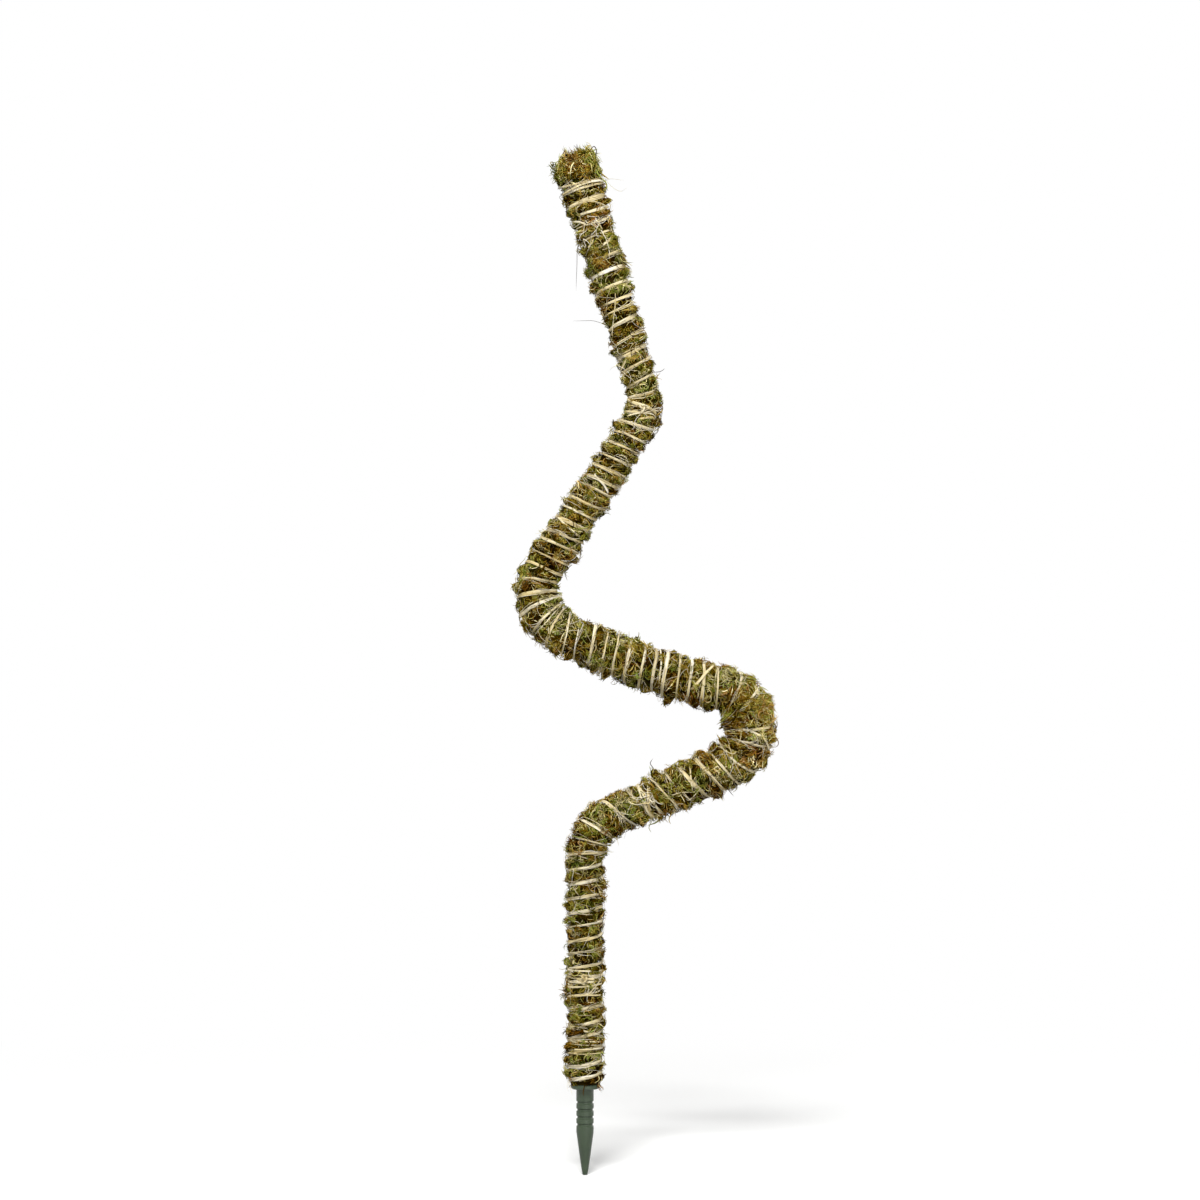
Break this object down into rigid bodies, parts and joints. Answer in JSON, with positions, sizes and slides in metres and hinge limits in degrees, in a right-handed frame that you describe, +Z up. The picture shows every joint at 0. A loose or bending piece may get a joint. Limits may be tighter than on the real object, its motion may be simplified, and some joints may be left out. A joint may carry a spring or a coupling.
{
  "type": "moss pole",
  "caption": "Bendable moss pole: a soft wire padded with fibre, sleeved in moss and bound with raffia, bent into a climbing zigzag above a ground spike.",
  "frame": {"origin": "on the pole's axis at the ground line", "axes": "+Z up the pole's foot, +X to the right seen from the front, +Y away from the front; the bends lie in the XZ plane"},
  "size_m": [0.1199, 0.0259, 0.4737],
  "materials": {
    "core_wire": "dull drawn wire",
    "spike_plastic": "moulded, satin",
    "fibre": "loose coir fibre",
    "moss": "dried sheet moss",
    "raffia": "dry split leaf strip"
  },
  "bodies": {
    "foot": {"wire_foot": "core_wire", "packing_foot": "fibre", "moss_foot": "moss", "raffia_foot": "raffia", "ground_spike": "spike_plastic", "foot_tie": "raffia", "stem_tie": "raffia", "stem_knot": "raffia"},
    "low_link": {"wire_low_bend": "core_wire", "packing_low_bend": "fibre", "moss_low_bend": "moss", "raffia_low_bend": "raffia"},
    "lower_arm": {"wire_lower_arm": "core_wire", "packing_lower_arm": "fibre", "moss_lower_arm": "moss", "raffia_lower_arm": "raffia", "low_tie": "raffia", "low_knot": "raffia"},
    "right_link_a": {"wire_right_bend_a": "core_wire", "packing_right_bend_a": "fibre", "moss_right_bend_a": "moss", "raffia_right_bend_a": "raffia"},
    "right_link_b": {"wire_right_bend_b": "core_wire", "packing_right_bend_b": "fibre", "moss_right_bend_b": "moss", "raffia_right_bend_b": "raffia"},
    "middle_arm": {"wire_middle_arm": "core_wire", "packing_middle_arm": "fibre", "moss_middle_arm": "moss", "raffia_middle_arm": "raffia"},
    "left_link": {"wire_left_bend": "core_wire", "packing_left_bend": "fibre", "moss_left_bend": "moss", "raffia_left_bend": "raffia"},
    "upper_arm": {"wire_upper_arm": "core_wire", "packing_upper_arm": "fibre", "moss_upper_arm": "moss", "raffia_upper_arm": "raffia"},
    "high_link": {"wire_high_bend": "core_wire", "packing_high_bend": "fibre", "moss_high_bend": "moss", "raffia_high_bend": "raffia", "high_tie": "raffia", "high_knot": "raffia"},
    "tip": {"wire_tip": "core_wire", "packing_tip": "fibre", "moss_tip": "moss", "raffia_tip": "raffia", "wire_cap": "spike_plastic", "moss_crown": "moss", "crown_tie": "raffia"}
  },
  "joints": [
    {"name": "low_bend", "type": "hinge", "parent": "foot", "child": "low_link", "pos_m": [0.0009, 0, 0.10125], "axis": [0, -1, 0], "range_deg": [-7, 33], "deforming": ["wire_low_bend", "packing_low_bend", "moss_low_bend", "raffia_low_bend"]},
    {"name": "low_bend_2", "type": "hinge", "parent": "low_link", "child": "lower_arm", "pos_m": [0.00771, 0, 0.11172], "axis": [0, -1, 0], "range_deg": [-7, 33]},
    {"name": "right_bend", "type": "hinge", "parent": "lower_arm", "child": "right_link_a", "pos_m": [0.07218, 0, 0.14313], "axis": [0, 1, 0], "range_deg": [-5, 47.6], "deforming": ["wire_right_bend_a", "packing_right_bend_a", "moss_right_bend_a", "raffia_right_bend_a", "wire_right_bend_b", "packing_right_bend_b", "moss_right_bend_b", "raffia_right_bend_b"]},
    {"name": "right_bend_2", "type": "hinge", "parent": "right_link_a", "child": "right_link_b", "pos_m": [0.07686, 0, 0.15724], "axis": [0, 1, 0], "range_deg": [-5, 47.6]},
    {"name": "right_bend_3", "type": "hinge", "parent": "right_link_b", "child": "middle_arm", "pos_m": [0.06957, 0, 0.17019], "axis": [0, 1, 0], "range_deg": [-5, 47.6]},
    {"name": "left_bend", "type": "hinge", "parent": "middle_arm", "child": "left_link", "pos_m": [-0.01771, 0, 0.20478], "axis": [0, -1, 0], "range_deg": [-8, 48.7], "deforming": ["wire_left_bend", "packing_left_bend", "moss_left_bend", "raffia_left_bend"]},
    {"name": "left_bend_2", "type": "hinge", "parent": "left_link", "child": "upper_arm", "pos_m": [-0.02213, 0, 0.22098], "axis": [0, -1, 0], "range_deg": [-8, 48.7]},
    {"name": "high_bend", "type": "hinge", "parent": "upper_arm", "child": "high_link", "pos_m": [0.02498, 0, 0.29668], "axis": [0, 1, 0], "range_deg": [-15, 25.2], "deforming": ["wire_high_bend", "packing_high_bend", "moss_high_bend", "raffia_high_bend", "high_tie", "high_knot"]},
    {"name": "high_bend_2", "type": "hinge", "parent": "high_link", "child": "tip", "pos_m": [0.02676, 0, 0.309], "axis": [0, 1, 0], "range_deg": [-15, 25.2]}
  ],
  "couplings": [
    {"joint": "low_bend_2", "follows": "low_bend", "ratio": 1},
    {"joint": "right_bend_2", "follows": "right_bend", "ratio": 1},
    {"joint": "right_bend_3", "follows": "right_bend", "ratio": 1},
    {"joint": "left_bend_2", "follows": "left_bend", "ratio": 1},
    {"joint": "high_bend_2", "follows": "high_bend", "ratio": 1}
  ]
}
